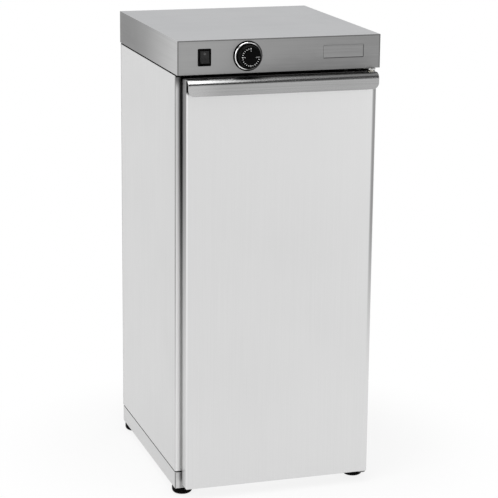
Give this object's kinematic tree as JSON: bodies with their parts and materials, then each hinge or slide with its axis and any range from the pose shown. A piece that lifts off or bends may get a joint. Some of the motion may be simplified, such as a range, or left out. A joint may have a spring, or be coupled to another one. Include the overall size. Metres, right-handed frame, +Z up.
{
  "type": "food holding cabinet",
  "caption": "Free-standing insulated stainless cabinet with a hinged full-height door, thermostat dial, rocker switch, wire shelves and levelling feet that keeps plates and food warm.",
  "frame": {"origin": "on the floor, under the middle of the whole outline", "axes": "+Z up, the door faces -Y, +X to the right of someone who faces the door"},
  "size_m": [0.4, 0.4892, 0.9],
  "materials": {
    "stainless_casing": "satin stainless sheet",
    "stainless_cover": "brushed stainless sheet",
    "stainless_door": "satin stainless sheet",
    "stainless_handle": "polished stainless sheet",
    "stainless_lining": "mill finish stainless sheet",
    "galvanised_sheet": "galvanised sheet",
    "zinc_steel": "zinc plated",
    "bracket_steel": "bright plated plate",
    "shaft_steel": "turned steel",
    "chrome_wire": "chrome plated wire",
    "chrome_trim": "polished chrome",
    "heater_sheath": "oxidised sheath",
    "brass_fitting": "turned brass",
    "copper": "drawn copper",
    "badge_aluminium": "satin anodised",
    "foot_plastic": "moulded black",
    "black_plastic": "moulded black",
    "rocker_plastic": "moulded dark grey",
    "knob_plastic": "moulded black with white marks",
    "thermostat_case": "plated case",
    "nylon": "moulded natural",
    "seal_rubber": "extruded dark grey",
    "wire_sleeve": "silicone sleeve",
    "mineral_wool": "loose fibre slab",
    "magnet_ferrite": "sintered ferrite"
  },
  "bodies": {
    "cabinet": {"base_pan": "stainless_casing", "foot_nuts": "zinc_steel", "left_side_panel": "stainless_casing", "right_side_panel": "stainless_casing", "front_top_rail": "stainless_casing", "front_bottom_rail": "stainless_casing", "rear_panel": "stainless_casing", "body_floor": "galvanised_sheet", "electrics_deck": "galvanised_sheet", "liner_left": "stainless_lining", "liner_right": "stainless_lining", "liner_rear": "stainless_lining", "liner_ceiling": "stainless_lining", "liner_floor": "stainless_lining", "side_insulation": "mineral_wool", "rear_insulation": "mineral_wool", "ceiling_insulation": "mineral_wool", "floor_insulation": "mineral_wool", "left_shelf_rails": "stainless_lining", "right_shelf_rails": "stainless_lining", "heating_element": "heater_sheath", "heater_stands": "galvanised_sheet", "heater_fittings": "brass_fitting", "heater_guard": "stainless_lining", "sensor_bulb": "copper", "bulb_clips": "zinc_steel", "capillary_tube": "copper", "top_cover": "stainless_cover", "badge_plate": "badge_aluminium", "switch_housing": "black_plastic", "thermostat_body": "thermostat_case", "dial_ring": "chrome_trim", "dial_plate": "black_plastic", "terminal_block": "nylon", "cable_gland": "black_plastic", "gland_nut": "black_plastic", "wiring": "wire_sleeve", "door_seal": "seal_rubber", "upper_hinge_bracket": "bracket_steel", "lower_hinge_bracket": "bracket_steel", "hinge_pins": "zinc_steel", "hinge_washer": "zinc_steel", "hinge_screws": "zinc_steel", "casing_screws": "zinc_steel", "door_magnets": "magnet_ferrite"},
    "door": {"door_outer_skin": "stainless_door", "door_inner_panel": "stainless_door", "door_insulation": "mineral_wool", "door_handle": "stainless_handle", "handle_rivets": "zinc_steel", "hinge_bushes": "nylon"},
    "dial": {"thermostat_knob": "knob_plastic", "thermostat_shaft": "shaft_steel"},
    "rocker": {"switch_rocker": "rocker_plastic"},
    "shelf_top": {"upper_shelf": "chrome_wire"},
    "shelf_low": {"lower_shelf": "chrome_wire"},
    "leveller_front_left": {"foot_front_left": "foot_plastic"},
    "leveller_front_right": {"foot_front_right": "foot_plastic"},
    "leveller_rear_left": {"foot_rear_left": "foot_plastic"},
    "leveller_rear_right": {"foot_rear_right": "foot_plastic"}
  },
  "joints": [
    {"name": "door_swing", "type": "hinge", "parent": "cabinet", "child": "door", "pos_m": [0.1815, -0.2174, 0.42], "axis": [0, 0, 1], "range_deg": [0, 120]},
    {"name": "dial_turn", "type": "hinge", "parent": "cabinet", "child": "dial", "pos_m": [-0.064, -0.2234, 0.868], "axis": [0, 1, 0], "range_deg": [0, 270]},
    {"name": "rocker_tilt", "type": "hinge", "parent": "cabinet", "child": "rocker", "pos_m": [-0.148, -0.2124, 0.868], "axis": [1, 0, 0], "range_deg": [0, 18]},
    {"name": "upper_shelf_lift", "type": "slide", "parent": "cabinet", "child": "shelf_top", "axis": [0, 0, 1], "range_m": [0, 0.025]},
    {"name": "lower_shelf_lift", "type": "slide", "parent": "cabinet", "child": "shelf_low", "axis": [0, 0, 1], "range_m": [0, 0.025]},
    {"name": "leveller_front_left_screw", "type": "slide", "parent": "cabinet", "child": "leveller_front_left", "axis": [0, 0, -1], "range_m": [0, 0.012]},
    {"name": "leveller_front_right_screw", "type": "slide", "parent": "cabinet", "child": "leveller_front_right", "axis": [0, 0, -1], "range_m": [0, 0.012]},
    {"name": "leveller_rear_left_screw", "type": "slide", "parent": "cabinet", "child": "leveller_rear_left", "axis": [0, 0, -1], "range_m": [0, 0.012]},
    {"name": "leveller_rear_right_screw", "type": "slide", "parent": "cabinet", "child": "leveller_rear_right", "axis": [0, 0, -1], "range_m": [0, 0.012]}
  ]
}
